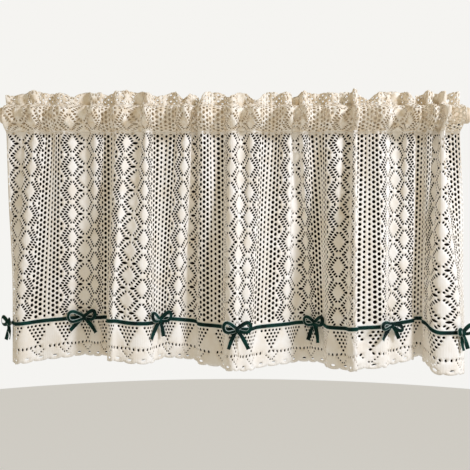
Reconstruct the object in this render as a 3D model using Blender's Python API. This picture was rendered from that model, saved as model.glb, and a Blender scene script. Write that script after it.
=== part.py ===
"""A cafe curtain of cotton lace, gathered on a rod, with a velvet ribbon and seven bows.

The origin is the middle of the rod's axis. +X runs along the rod, +Y goes to the window, +Z is up.
Sizes are in millimetres. The cloth has its own flat coordinates: u runs across it from left to right, and
v runs down it from the lower stitch line of the rod pocket.
"""

import math

import bmesh
import bpy
import numpy as np
from mathutils import Matrix, Vector

MM = 0.001
GAP = 0.3  # between pieces that touch

# Rod
ROD_RADIUS = 13.3
ROD_HALF_LENGTH = 386.5
CAP_LENGTH = 9.0
CAP_ROUNDING = 3.0
ROD_SIDES = 32

# Lace, flat
LEFT_EDGE = -8.0
RIGHT_EDGE = 1100.0
REPEAT = 124.0
FIRST_BAND = 16.0  # middle of the first band of lozenges
FULL_REPEATS = 8
FOLDED_NET = 30.0  # more net before the last band, tucked behind its fold
DROP = 381.0  # from the pocket to the points of the hem
ROW_REPEAT = 40.0
LAST_LEAF_ROW = 299.0
LEAF_ROWS = 7
LEAF_INNER = 5.5  # from the middle of its band
LEAF_OUTER = 16.0
LEAF_HEIGHT = 5.5
LEAF_POINT = 2.0
BAND_COLUMNS = (-62.0, -49.5, -37.0, -26.5, -LEAF_OUTER, -LEAF_INNER, LEAF_INNER, LEAF_OUTER, 26.5, 37.0, 49.5)
SCALLOP_WIDTH = 20.0
SCALLOP_DEPTH = 2.6
SCALLOP_STEPS = 3  # points along the hem in each column of faces
CLOTH = 1.6  # thickness of the sheet
HEADING_CLOTH = 2.0  # the same sheet in the heading, measured straight through the steep puckers

# Rod pocket and header, heights above the rod's axis
LOWER_STITCH = -27.0
UPPER_STITCH = 18.0
HEADER_TOP = 38.0
BACK_HEM = 3.5  # the folded-back edge ends this far below the lower stitch line
TUNNEL = ROD_RADIUS + GAP

# Ribbon and bows
RIBBON_WIDTH = 7.0
RIBBON_THICKNESS = 1.2
RIBBON_ROW = 315.0
RIBBON_GAP = 0.35
BOW_STRAP = 6.0
KNOT_WIDTH = 6.0
KNOT_SPREAD = 24  # a bow faces the way its ribbon does over this much cloth on each side
BOW_CLEAR = 3.0  # between the straps and the cloth, so that the ribbon fits between
BOW_NEAR = 5.0  # cloth this near the knot moves the whole bow out, and cloth further off only a strap
BOW_ROWS = (RIBBON_ROW - 12, RIBBON_ROW, RIBBON_ROW + 16, RIBBON_ROW + 34)
KNOT_HEIGHT = 8.8

# How the folds stand. VIEW is the distance at which "top" and "low" were read, in the plane of the rod.
VIEW = 1077.0
TOP_ROW = 30.0
LOW_ROW = 252.0
FLARE_START = 0.15
FLARE_ROW = 240.0
PUCKER = REPEAT / 2.0

# u: place across the flat cloth. top, low: place along the rod at the top and low rows.
# depth: how far behind the rod's axis the fold stands at the foot. drop: how far the ribbon hangs below its mean.
FOLDS = (
    ("u", "top", "low", "depth", "drop"),
    (-8, -379, -365, 20, 1),
    (2, -369, -368, 10, 1),
    (16, -355, -363, -2, 0),
    (39, -332, -349, -14, -1),
    (99, -285, -287, -16, -8),
    (140, -248, -248, -4, -9),
    (181, -219, -220, 18, -7),
    (223, -192, -203, -16, -8),
    (241, -180, -197, -31, -8),
    (264, -159, -177, -38, -5),
    (305, -137, -139, -27, -4),
    (347, -97, -109, -1, -7),
    (388, -71, -78, 11, -3),
    (429, -54, -53, -6, 1),
    (471, -18, -21, -26, 4),
    (505, 6, 2, -46, 4),
    (535, 25, 17, -30, 5),
    (595, 76, 69, -6, 3),
    (636, 100, 103, 13, 2),
    (659, 111, 120, 24, 2),
    (677, 120, 130, 14, 2),
    (719, 157, 157, -14, 4),
    (760, 191, 186, -38, 4),
    (783, 198, 198, -52, 2),
    (801, 203, 200, -36, 4),
    (843, 239, 242, -34, 2),
    (884, 267, 261, -4, 3),
    (925, 290, 288, 22, -1),
    (967, 312, 307, 36, -1),
    (977, 316, 312, 38, 1),
    (995, 322, 314, 20, 1),
    (1015, 332, 319, 0, 5),
    (1038, 340, 342, -6, 15),
    (1061, 346, 362, -14, 14),
    (1100, 366, 373, 20, 16),
)

# Where the standing header dips, and by how much.
HEADER_DIPS = (
    ("u", "dip"),
    (8, 6),
    (117, 8),
    (315, 6),
    (362, 11),
    (420, 17),
    (480, 10),
    (545, 16),
    (638, 5),
    (822, 10),
    (930, 10),
    (1065, 7),
)
DIP_WIDTH = 9.0

# u: where the knot sits. reach: from the knot to a loop's tip. rise: the tip above the knot.
# tail: where a tail's end lies from the knot, across and down.
BOWS = (
    ("u", "left_reach", "left_rise", "right_reach", "right_rise", "left_tail", "left_down", "right_tail", "right_down"),
    (-4, 12, 3, 10, 5, -9, 33, 5, 30),
    (140, 25, 4, 19, 7, -23, 22, 20, 26),
    (328, 15, 10, 18, 10, -16, 30, 7, 27),
    (509, 22, 6, 22, 6, -14, 32, 19, 32),
    (677, 18, 6, 18, 8, -13, 30, 7, 33),
    (879, 23, 3, 17, -4, -20, 25, 15, 23),
    (1094, 13, 4, 10, 5, -6, 30, 8, 33),
)


def table(rows):
    """The named columns of a table, as arrays."""
    names, values = rows[0], np.array(rows[1:], float)
    return {name: values[:, i] for i, name in enumerate(names)}


def through(points, values, at):
    """A smooth curve through the points that never overshoots them."""
    gaps = np.diff(points)
    steps = np.diff(values) / gaps
    slopes = np.zeros(len(points))
    same = steps[:-1] * steps[1:] > 0
    slopes[1:-1][same] = 2 * steps[:-1][same] * steps[1:][same] / (steps[:-1] + steps[1:])[same]
    slopes[0], slopes[-1] = steps[0], steps[-1]
    i = np.clip(np.searchsorted(points, at) - 1, 0, len(gaps) - 1)
    t = (at - points[i]) / gaps[i]
    rise = values[i + 1] - values[i]
    start, end = slopes[i] * gaps[i], slopes[i + 1] * gaps[i]
    return values[i] + t * (start + t * (3 * rise - 2 * start - end + t * (start + end - 2 * rise)))


def mean_over(values, width):
    """A running mean along u, one value each millimetre."""
    half = int(width / 2)
    padded = np.concatenate([np.full(half, values[0]), values, np.full(half, values[-1])])
    return np.convolve(padded, np.ones(2 * half + 1) / (2 * half + 1), "valid")


def smooth_step(value):
    value = np.clip(value, 0, 1)
    return value * value * (3 - 2 * value)


FOLD = table(FOLDS)
DIP = table(HEADER_DIPS)
U = np.arange(LEFT_EDGE, RIGHT_EDGE + 0.5)
WAVE = np.cos(2 * math.pi * (U - FIRST_BAND) / PUCKER + 0.9 * np.sin(U / 97) + 0.5 * np.sin(U / 41 + 1))


def cloth_row(v):
    """The middle of the sheet along one row, for each value of U: x, y and z, and how high its puckers are."""
    along = np.clip((v - TOP_ROW) / (LOW_ROW - TOP_ROW), -0.13, 1.15)
    flare = FLARE_START + (1 - FLARE_START) * smooth_step(v / FLARE_ROW)
    depth = through(FOLD["u"], FOLD["depth"], U) * flare
    x = through(FOLD["u"], FOLD["top"] + along * (FOLD["low"] - FOLD["top"]), U) * (1 + depth / VIEW)
    # Cloth that the main folds leave over goes into puckers, whose height follows from it.
    used = mean_over(np.clip(np.hypot(np.gradient(x), np.gradient(depth)), 0.3, 1), PUCKER)
    height = mean_over(PUCKER / math.pi * np.sqrt(1 - used), PUCKER)
    y = depth + height * WAVE
    level = np.sqrt(np.clip(1 - np.gradient(y) ** 2, 0.05, 1))
    run = np.cumsum(level)
    x = x + run - mean_over(run, PUCKER)
    z = LOWER_STITCH - v - through(FOLD["u"], FOLD["drop"], U) * v / RIBBON_ROW
    return x, y, z, height


def at_columns(row, columns):
    return [np.interp(columns, U, values) for values in row]


def faces_of_cloth(v, columns):
    """Points on the front and back of the sheet along one row."""
    x, y, z, _ = cloth_row(v)
    across, away = np.gradient(x), np.gradient(y)
    length = np.hypot(across, away)
    x, y, z, across, away = at_columns((x, y, z, across / length, away / length), columns)
    half = CLOTH / 2
    front = np.stack([x + half * away, y - half * across, z], 1)
    back = np.stack([x - half * away, y + half * across, z], 1)
    return front, back, np.stack([away, -across, np.zeros(len(columns))], 1)


def band_centres():
    whole = [FIRST_BAND + REPEAT * i for i in range(FULL_REPEATS)]
    return whole + [whole[-1] + REPEAT + FOLDED_NET]


def cloth_columns():
    """The columns of faces: those that bound the leaf holes, and even ones between."""
    inside = {centre + offset for centre in band_centres() for offset in BAND_COLUMNS}
    tucked = band_centres()[-2] + REPEAT / 2
    inside |= {tucked, tucked + FOLDED_NET / 2}
    return np.array([LEFT_EDGE] + sorted(u for u in inside if LEFT_EDGE + 4 < u < RIGHT_EDGE - 4) + [RIGHT_EDGE])


def heading_profiles(columns):
    """The heading at each column, as y and z: the outside from front to back, and the tunnel for the rod."""
    x, y, z, height = at_columns(cloth_row(0.0), columns)
    wave = np.interp(columns, U, WAVE)
    out = height * (1 - wave)
    back = height * (1 + wave)
    dips = sum(d * np.exp(-((columns - u) ** 2) / (2 * DIP_WIDTH**2)) for u, d in zip(DIP["u"], DIP["dip"]))
    top = HEADER_TOP - dips + 1.5 * np.sin(columns / 17)
    lean = 1.25 * y
    t = HEADING_CLOTH
    edge = TUNNEL * math.tan(math.pi / 8)
    low = edge + 11.5
    neck = TUNNEL * 0.66

    def level(value):
        return np.full(len(columns), value)

    outside = [
        (y - t, level(LOWER_STITCH)),
        (-neck - t - 0.7 * out, level(-low - 1)),
        (-TUNNEL - t - out, level(-edge - 1)),
        (-TUNNEL - t - out, level(edge + 1)),
        (-edge - 0.9 - 0.5 * out, level(TUNNEL + 1.8)),
        (y - t, level(UPPER_STITCH)),
        (lean - t, top - 1.5),
        (lean, top),
        (lean + t, top - 1.5),
        (y + t, level(UPPER_STITCH)),
        (edge + 0.9 + 0.5 * back, level(TUNNEL + 1.8)),
        (TUNNEL + t + back, level(edge + 1)),
        (TUNNEL + t + back, level(-edge - 1)),
        (neck + t + 0.7 * back, level(-low - 1)),
        (y + t, level(LOWER_STITCH)),
        (y + t, level(LOWER_STITCH - BACK_HEM)),
    ]
    inside = [
        (y, level(LOWER_STITCH + 2.5)),
        (-neck - 0.7 * out, level(-low)),
        (-TUNNEL - out, level(-edge)),
        (-TUNNEL - out, level(edge)),
        (-edge - 0.5 * out, level(TUNNEL)),
        (edge + 0.5 * back, level(TUNNEL)),
        (TUNNEL + back, level(edge)),
        (TUNNEL + back, level(-edge)),
        (neck + 0.7 * back, level(-low)),
    ]
    return ([np.stack([x, py, pz], 1) for py, pz in ring] for ring in (outside, inside))


def row_heights():
    """The rows of faces down the cloth, and which of them open on leaf holes."""
    leaves = [LAST_LEAF_ROW - ROW_REPEAT * i for i in range(LEAF_ROWS)][::-1]
    rows = [v for leaf in leaves for v in (leaf - LEAF_HEIGHT / 2, leaf + LEAF_HEIGHT / 2)]
    rows += [RIBBON_ROW - RIBBON_WIDTH / 2, RIBBON_ROW + RIBBON_WIDTH / 2, RIBBON_ROW + 33]
    return rows, set(range(0, 2 * len(leaves), 2))


def scallop(u):
    """How far the hem is drawn up between the points of two scallops."""
    phase = abs((u / SCALLOP_WIDTH) % 1.0 - 0.5) * 2
    return SCALLOP_DEPTH * (1 - math.sqrt(max(1 - phase**2, 0)))


def build_lace():
    columns = cloth_columns()
    rows, leaf_rows = row_heights()
    centres = band_centres()
    count = len(columns)
    shape = bmesh.new()

    def verts(points):
        return [shape.verts.new(Vector(p) * MM) for p in points]

    outside, inside = heading_profiles(columns)
    outside, tunnel = [verts(line) for line in outside], [verts(line) for line in inside]
    front = [outside[0]]
    back = [verts(np.stack([p.co / MM for p in outside[-1]]) * 1.0 - [0, HEADING_CLOTH, 0])]
    for index, v in enumerate(rows):
        ahead, behind, _ = faces_of_cloth(v, columns)
        # The outer end of each leaf hole is drawn in to a blunt point.
        pinch = (LEAF_HEIGHT - LEAF_POINT) / 2 * (1 if index % 2 == 0 else -1)
        if index < 2 * LEAF_ROWS:
            for centre in centres:
                for side in (-LEAF_OUTER, LEAF_OUTER):
                    at = np.isclose(columns, centre + side)
                    ahead[at, 2] -= pinch
                    behind[at, 2] -= pinch
        front.append(verts(ahead))
        back.append(verts(behind))
    ahead, behind, _ = faces_of_cloth(DROP, columns)

    def hem(points):
        """The hem's points, with the scallops between the columns."""
        line = []
        for j in range(count - 1):
            for step in range(SCALLOP_STEPS):
                part = step / SCALLOP_STEPS
                point = (1 - part) * points[j] + part * points[j + 1]
                point[2] += scallop((1 - part) * columns[j] + part * columns[j + 1])
                line.append(point)
        last = points[-1].copy()
        last[2] += scallop(columns[-1])
        return verts(line + [last])

    front_hem, back_hem = hem(ahead), hem(behind)

    def strip(lower, upper, outward=True):
        for j in range(count - 1):
            face = [lower[j], lower[j + 1], upper[j + 1], upper[j]]
            shape.faces.new(face if outward else face[::-1])

    def is_leaf(index, j):
        middle = (columns[j] + columns[j + 1]) / 2
        return index in leaf_rows and any(LEAF_INNER < abs(middle - c) < LEAF_OUTER for c in centres) and j > 0

    for lower, upper in zip(outside[:-1], outside[1:]):
        strip(lower, upper)
    strip(outside[-1], back[0])
    for lower, upper in zip(tunnel, tunnel[1:] + tunnel[:1]):
        strip(lower, upper, outward=False)
    for index in range(len(front) - 1):
        for j in range(count - 1):
            a, b = front[index + 1][j], front[index + 1][j + 1]
            c, d = front[index][j + 1], front[index][j]
            e, f = back[index + 1][j], back[index + 1][j + 1]
            g, h = back[index][j + 1], back[index][j]
            if is_leaf(index - 1, j):
                for near, far in (((a, b), (e, f)), ((b, c), (f, g)), ((c, d), (g, h)), ((d, a), (h, e))):
                    shape.faces.new([near[0], near[1], far[1], far[0]])
            else:
                shape.faces.new([a, b, c, d])
                shape.faces.new([h, g, f, e])
    for j in range(count - 1):
        first, last = j * SCALLOP_STEPS, (j + 1) * SCALLOP_STEPS + 1
        shape.faces.new(front_hem[first:last] + [front[-1][j + 1], front[-1][j]])
        shape.faces.new((back_hem[first:last] + [back[-1][j + 1], back[-1][j]])[::-1])
    for j in range(len(front_hem) - 1):
        shape.faces.new([front_hem[j + 1], front_hem[j], back_hem[j], back_hem[j + 1]])

    def close_end(j, hem_index, outward):
        """The cut edge of the sheet at one side."""
        o, i = [line[j] for line in outside], [line[j] for line in tunnel]
        polygons = [[o[k], o[k + 1], i[k + 1], i[k]] for k in range(4)]
        polygons += [[o[4], o[5], o[9], o[10], i[5], i[4]], [o[5], o[6], o[7], o[8], o[9]]]
        polygons += [[o[k], o[k + 1], i[(k - 4) % 9], i[k - 5]] for k in range(10, 14)]
        polygons += [[o[0], i[0], o[14], o[15], back[0][j]]]
        ahead = [line[j] for line in front] + [front_hem[hem_index]]
        behind = [line[j] for line in back] + [back_hem[hem_index]]
        polygons += [[ahead[k + 1], ahead[k], behind[k], behind[k + 1]] for k in range(len(ahead) - 1)]
        for polygon in polygons:
            shape.faces.new(polygon[::-1] if outward else polygon)

    close_end(0, 0, False)
    close_end(count - 1, len(front_hem) - 1, True)
    return finish_mesh("lace_panel", shape, cotton())


def build_ribbon():
    columns = cloth_columns()
    columns[0] += 1
    columns[-1] -= 1
    shape = bmesh.new()
    lines = []
    near = RIBBON_GAP
    far = RIBBON_GAP + RIBBON_THICKNESS
    for v, lift in ((1, near), (-1, near), (-1, far), (1, far)):
        front, _, normal = faces_of_cloth(RIBBON_ROW + v * RIBBON_WIDTH / 2, columns)
        lines.append([shape.verts.new(Vector(p) * MM) for p in front + lift * normal])
    for lower, upper in zip(lines, lines[1:] + lines[:1]):
        for j in range(len(columns) - 1):
            shape.faces.new([lower[j + 1], lower[j], upper[j], upper[j + 1]])
    shape.faces.new([line[0] for line in lines][::-1])
    shape.faces.new([line[-1] for line in lines])
    return finish_mesh("ribbon", shape, velvet())


def sweep(shape, path, sides, width, thickness):
    """A flat strap along a path. sides gives the direction of its width at each point."""
    rings = []
    for i, point in enumerate(path):
        tangent = (path[min(i + 1, len(path) - 1)] - path[max(i - 1, 0)]).normalized()
        side = sides[i] - tangent * sides[i].dot(tangent)
        side.normalize()
        face = tangent.cross(side)
        corners = ((-1, -1), (1, -1), (1, 1), (-1, 1))
        rings.append([shape.verts.new(point + side * a * width / 2 + face * b * thickness / 2) for a, b in corners])
    for first, second in zip(rings, rings[1:]):
        for k in range(4):
            shape.faces.new([first[k], first[(k + 1) % 4], second[(k + 1) % 4], second[k]])
    shape.faces.new(rings[0][::-1])
    shape.faces.new(rings[-1])


def bow_piece(name, fill):
    shape = bmesh.new()
    fill(shape)
    bmesh.ops.scale(shape, vec=(MM, MM, MM), verts=shape.verts)
    return finish_mesh(name, shape, velvet())


def faceted_row(v, places, lift):
    """Points this far in front of the sheet along one row, on the flat faces between its columns."""
    columns = cloth_columns()
    front, _, normals = faces_of_cloth(v, columns)
    raised = front + lift * normals
    return np.stack([np.interp(places, columns, raised[:, axis]) for axis in range(3)], 1)


def build_bow(number, row):
    """One bow of the same ribbon: two loops, two tails with free ends, and the knot, tied as one."""
    nearby = np.clip(row["u"] + np.arange(-60, 61), LEFT_EDGE, RIGHT_EDGE)
    middle = len(nearby) // 2
    seat = faceted_row(RIBBON_ROW, nearby, 0.0)
    spread = KNOT_SPREAD
    along = Vector(seat[middle + spread] - seat[middle - spread])
    along.z = 0
    along.normalize()
    outward = Vector((along.y, -along.x, 0))
    origin = Vector(seat[middle])
    # The knot sits on the ribbon. The straps lean out from it, just far enough to stand clear of the folds
    # on their own side.
    knot_back = 0.0
    for point in faceted_row(RIBBON_ROW, nearby, RIBBON_GAP + RIBBON_THICKNESS):
        offset = Vector(point) - origin
        if abs(offset.dot(along)) < KNOT_WIDTH / 2 + 1:
            knot_back = max(knot_back, offset.dot(outward) + RIBBON_GAP)
    offsets = [Vector(p) - origin for v in BOW_ROWS for p in faceted_row(v, nearby, 0.0)]
    reads = [(offset.dot(along), offset.dot(outward) + BOW_CLEAR) for offset in offsets]
    stand = max([knot_back] + [ahead for beside, ahead in reads if abs(beside) < BOW_NEAR])
    lean = {}
    for way, side in ((-1, "left"), (1, "right")):
        within = row[side + "_reach"] + BOW_STRAP / 2
        facing = [(way * beside, ahead) for beside, ahead in reads if BOW_NEAR < way * beside < within]
        lean[way] = max([0.0] + [(ahead - stand) / beside for beside, ahead in facing])
    tilt = math.radians(48)

    def local(x, lift, z):
        """A point beside the knot, this far out from the cloth."""
        return Vector((x, -stand - lift - lean[1 if x > 0 else -1] * abs(x), z))

    def loop(reach, rise):
        count = 12
        way = math.copysign(1, reach)
        wide = 0.5 + 0.2 * abs(reach)
        path, sides = [], []
        for i in range(count + 1):
            s = i / count
            swell = math.sin(math.pi * s)
            open_by = wide * math.sin(2 * math.pi * s) + 1.6 * (1 - 2 * s)
            path.append(local((reach + way) * swell - way, 5.4 + 0.2 * way + 1.5 * swell, rise * swell + open_by))
            sides.append(Vector((0, math.cos(tilt), math.sin(tilt))))
        return lambda shape: sweep(shape, path, sides, BOW_STRAP, RIBBON_THICKNESS)

    def tail(across, down):
        way = math.copysign(1, across)
        path, sides = [], []
        for s in (0, 0.3, 0.65, 1):
            path.append(local((across + way) * s - way, 1.3 + 0.65 * way, -(down + 1) * s + 1))
            sides.append(Vector((1, 0, 0.4 * way)))
        return lambda shape: sweep(shape, path, sides, BOW_STRAP, RIBBON_THICKNESS)

    def knot(shape):
        deep = stand + 8.2 - knot_back
        bmesh.ops.create_cube(shape, size=1)
        bmesh.ops.scale(shape, vec=(KNOT_WIDTH, deep, KNOT_HEIGHT), verts=shape.verts)
        bmesh.ops.translate(shape, vec=(0, -knot_back - deep / 2, 0), verts=shape.verts)
        rim = [e for e in shape.edges if all(v.co.y < -knot_back - deep / 2 for v in e.verts)]
        bmesh.ops.bevel(shape, geom=rim, offset=1.8, segments=2, affect="EDGES")

    bow = bow_piece(f"bow_{number}", knot)
    parts = [
        loop(-row["left_reach"], row["left_rise"]),
        loop(row["right_reach"], row["right_rise"]),
        tail(row["left_tail"], row["left_down"]),
        tail(row["right_tail"], row["right_down"]),
    ]
    for i, part in enumerate(parts):
        cutter = bow_piece(f"bow_{number}_part_{i}", part)
        cutter.hide_render = True
        cutter.display_type = "WIRE"
        union = bow.modifiers.new(f"part_{i}", "BOOLEAN")
        union.operation = "UNION"
        union.solver = "EXACT"
        union.object = cutter
        cutter.parent = bow
    turn = math.atan2(along.y, along.x)
    bow.matrix_world = Matrix.Translation(origin * MM) @ Matrix.Rotation(turn, 4, "Z")
    return bow


def turned(name, profile, material):
    """A piece turned about the X axis from (x, radius) pairs that start and end on the axis."""
    shape = bmesh.new()
    rings = []
    for x, radius in profile:
        angles = [2 * math.pi * k / ROD_SIDES for k in range(ROD_SIDES)] if radius else [0.0]
        rings.append([shape.verts.new(Vector((x, radius * math.sin(a), radius * math.cos(a))) * MM) for a in angles])
    for first, second in zip(rings, rings[1:]):
        for k in range(ROD_SIDES):
            one, two = first[k % len(first)], first[(k + 1) % len(first)]
            three, four = second[(k + 1) % len(second)], second[k % len(second)]
            shape.faces.new(list(dict.fromkeys((four, three, two, one))))
    return finish_mesh(name, shape, material)


def build_rod():
    """The rod and its two caps. Each cap has a rounded rim, a shallow ring and a flat end."""
    end = ROD_HALF_LENGTH - CAP_LENGTH
    material = enamel()
    pieces = [turned("rod", [(-end, 0), (-end, ROD_RADIUS), (end, ROD_RADIUS), (end, 0)], material)]
    start, stop = end + GAP, ROD_HALF_LENGTH
    rim = [(start, 0), (start, ROD_RADIUS - 0.4), (start + 0.8, ROD_RADIUS)]
    for k in range(5):
        angle = math.pi / 2 * k / 4
        x = stop - CAP_ROUNDING + CAP_ROUNDING * math.sin(angle)
        rim.append((x, ROD_RADIUS - CAP_ROUNDING + CAP_ROUNDING * math.cos(angle)))
    rim.append((stop, 0))
    pieces.append(turned("rod_cap_right", rim, material))
    pieces.append(turned("rod_cap_left", [(-x, r) for x, r in rim[::-1]], material))
    return pieces


def finish_mesh(name, shape, material):
    mesh = bpy.data.meshes.new(name)
    shape.normal_update()
    shape.to_mesh(mesh)
    shape.free()
    mesh.materials.append(material)
    mesh.shade_smooth()
    mesh.set_sharp_from_angle(angle=math.radians(40))
    piece = bpy.data.objects.new(name, mesh)
    bpy.context.scene.collection.objects.link(piece)
    return piece


def surface(name, colour, roughness):
    material = bpy.data.materials.get(name) or bpy.data.materials.new(name)
    material.use_nodes = True
    shader = material.node_tree.nodes["Principled BSDF"]
    shader.inputs["Base Color"].default_value = (*colour, 1)
    shader.inputs["Roughness"].default_value = roughness
    shader.inputs["Metallic"].default_value = 0.0
    return material


def cotton():
    return surface("cotton lace", (0.82, 0.74, 0.62), 0.9)


def velvet():
    return surface("dark green velvet", (0.006, 0.045, 0.040), 0.8)


def enamel():
    return surface("cream enamel", (0.66, 0.54, 0.42), 0.45)


def build():
    for old in list(bpy.data.objects):
        bpy.data.objects.remove(old, do_unlink=True)
    build_lace()
    build_ribbon()
    names, rows = BOWS[0], BOWS[1:]
    for number, values in enumerate(rows, start=1):
        build_bow(number, dict(zip(names, values)))
    build_rod()


build()
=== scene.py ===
import math
import time

import bmesh
import bpy
import numpy as np
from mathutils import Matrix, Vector
from mathutils.geometry import delaunay_2d_cdt
from mathutils.kdtree import KDTree


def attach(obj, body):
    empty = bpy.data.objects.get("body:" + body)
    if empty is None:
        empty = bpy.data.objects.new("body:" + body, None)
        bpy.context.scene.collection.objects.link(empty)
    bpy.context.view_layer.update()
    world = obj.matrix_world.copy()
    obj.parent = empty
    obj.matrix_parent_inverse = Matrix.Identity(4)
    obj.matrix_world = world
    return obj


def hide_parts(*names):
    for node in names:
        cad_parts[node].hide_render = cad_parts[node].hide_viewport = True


started = time.time()
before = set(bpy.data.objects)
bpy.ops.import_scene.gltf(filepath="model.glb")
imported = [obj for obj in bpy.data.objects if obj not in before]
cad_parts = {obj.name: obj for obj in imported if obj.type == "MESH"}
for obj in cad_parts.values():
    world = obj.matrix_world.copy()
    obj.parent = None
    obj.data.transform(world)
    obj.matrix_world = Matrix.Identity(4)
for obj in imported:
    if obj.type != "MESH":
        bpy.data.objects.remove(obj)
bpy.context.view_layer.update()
mm = 0.001


def note(stage):
    print(f"{time.time() - started:6.1f} s  {stage}")


# Camera

viewpoint = {
    "distance": 1.077,
    "height": -0.197,  # level with the middle of the picture
    "lens": 50.0,
    "sensor": 36.0,
}

camera = bpy.data.objects.new("camera", bpy.data.cameras.new("camera"))
camera.data.lens = viewpoint["lens"]
camera.data.sensor_width = viewpoint["sensor"]
camera.data.clip_end = 30
camera.data.dof.use_dof = False
camera.location = (0, -viewpoint["distance"], viewpoint["height"])
camera.rotation_euler = (math.pi / 2, 0, 0)
bpy.context.scene.collection.objects.link(camera)
bpy.context.scene.camera = camera


# Colours and materials


def linear(hexColour):
    # sRGB hex to linear.
    parts = [int(hexColour[i:i + 2], 16) / 255 for i in (1, 3, 5)]
    return tuple(c / 12.92 if c <= 0.04045 else ((c + 0.055) / 1.055) ** 2.4 for c in parts) + (1.0,)


def addNode(tree, kind, settings=None, inputs=None, links=None):
    # A node with its settings, its input values and what is linked into it.
    node = tree.nodes.new(kind)
    for name, value in (settings or {}).items():
        setattr(node, name, value)
    for name, value in (inputs or {}).items():
        node.inputs[name].default_value = value
    for name, source in (links or {}).items():
        tree.links.new(source, node.inputs[name])
    return node


def newMaterial(name):
    material = bpy.data.materials.new(name)
    material.use_nodes = True
    tree = material.node_tree
    return material, tree, tree.nodes["Principled BSDF"]


def setStops(ramp, stops):
    # Colour stops as (place, hex).
    while len(ramp.color_ramp.elements) < len(stops):
        ramp.color_ramp.elements.new(0.5)
    for element, (place, colour) in zip(ramp.color_ramp.elements, stops):
        element.position = place
        element.color = linear(colour)


laceLook = {
    "thread": "#f8f4ed",
    "shadedThread": "#f1e9dc",
    "stitchPitch": 1.6,  # mm, real stitches are near 1.1 and are drawn coarser so that they show
    "slubSize": 28.0,  # mm
    # the heading's copy of the cotton: painted shade of its creases and doubled layers
    "creaseShadedThread": "#faf3e6",
    "creaseShade": "#e6d5ba",
    "creaseSize": 11.0,  # mm
    "fuzzSize": 1.3,  # mm
    "sheen": 0.12,
    "roughness": 0.92,
    "relief": 0.35,  # mm
}


def makeLaceCotton(name, thread, shadedThread, slubSize):
    # Unbleached cotton, warp knitted: matt, cream, a little uneven from thread to thread.
    material, tree, shader = newMaterial(name)
    flat = addNode(tree, "ShaderNodeUVMap", {"uv_map": "flatCloth"})
    # The UV map is in metres of flat cloth, so a stitch of stitchPitch mm repeats this often.
    stitches = addNode(tree, "ShaderNodeTexWave",
                       {"wave_type": "BANDS", "bands_direction": "X", "wave_profile": "SIN"},
                       {"Scale": 1000 / laceLook["stitchPitch"] / math.pi / 2, "Distortion": 1.5,
                        "Detail": 1.0, "Detail Scale": 2.0},
                       {"Vector": flat.outputs["UV"]})
    place = addNode(tree, "ShaderNodeTexCoord")
    slubs = addNode(tree, "ShaderNodeTexNoise", {}, {"Scale": 1000 / slubSize, "Detail": 3.0},
                    {"Vector": place.outputs["Object"]})
    fuzz = addNode(tree, "ShaderNodeTexNoise", {}, {"Scale": 1000 / laceLook["fuzzSize"], "Detail": 2.0},
                   {"Vector": place.outputs["Object"]})
    # the two tones mix at random; in the heading's copy the darker, warmer mottle is painted shade
    tone = addNode(tree, "ShaderNodeValToRGB", {}, {}, {"Fac": slubs.outputs["Fac"]})
    setStops(tone, [(0.32, shadedThread), (0.62, thread)])
    height = addNode(tree, "ShaderNodeMath", {"operation": "MULTIPLY_ADD"}, {1: 0.5},
                     {0: stitches.outputs["Fac"], 2: fuzz.outputs["Fac"]})
    bump = addNode(tree, "ShaderNodeBump", {}, {"Strength": 0.5, "Distance": laceLook["relief"] * mm},
                   {"Height": height.outputs[0]})
    tree.links.new(tone.outputs["Color"], shader.inputs["Base Color"])
    tree.links.new(bump.outputs["Normal"], shader.inputs["Normal"])
    shader.inputs["Roughness"].default_value = laceLook["roughness"]
    shader.inputs["Sheen Weight"].default_value = laceLook["sheen"]
    shader.inputs["Sheen Roughness"].default_value = 0.6
    shader.inputs["Specular IOR Level"].default_value = 0.2
    return material


velvetLook = {
    "pile": "#041715",
    "brushed": "#093831",
    # the pale tone of the strap edges is painted highlight
    "highlitSelvedge": "#d3dcd9",
    "selvedgeShade": "#93aba7",
    "pickSize": 0.8,  # mm
    "pileSize": 0.9,  # mm, the real pile is near 0.1 and is drawn coarser so that it shows
    "pileDepth": 0.3,  # mm
    "brushedSize": 14.0,  # mm
    "sheen": 0.3,
    "sheenTint": "#3f8f86",
}


def makeVelvet():
    # Rayon velvet: short upright pile, nearly black face on, and lighter where light grazes it.
    material, tree, shader = newMaterial("wovenVelvet")
    place = addNode(tree, "ShaderNodeTexCoord")
    pile = addNode(tree, "ShaderNodeTexNoise", {}, {"Scale": 1000 / velvetLook["pileSize"], "Detail": 2.0},
                   {"Vector": place.outputs["Object"]})
    brushing = addNode(tree, "ShaderNodeTexNoise", {}, {"Scale": 1000 / velvetLook["brushedSize"], "Detail": 2.0},
                       {"Vector": place.outputs["Object"]})
    tone = addNode(tree, "ShaderNodeValToRGB", {}, {}, {"Fac": brushing.outputs["Fac"]})
    setStops(tone, [(0.35, velvetLook["pile"]), (0.7, velvetLook["brushed"])])
    bump = addNode(tree, "ShaderNodeBump", {}, {"Strength": 0.6, "Distance": velvetLook["pileDepth"] * mm},
                   {"Height": pile.outputs["Fac"]})
    tree.links.new(tone.outputs["Color"], shader.inputs["Base Color"])
    tree.links.new(bump.outputs["Normal"], shader.inputs["Normal"])
    shader.inputs["Roughness"].default_value = 0.85
    shader.inputs["Sheen Weight"].default_value = velvetLook["sheen"]
    shader.inputs["Sheen Roughness"].default_value = 0.35
    shader.inputs["Sheen Tint"].default_value = linear(velvetLook["sheenTint"])
    shader.inputs["Specular IOR Level"].default_value = 0.15
    return material


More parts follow.
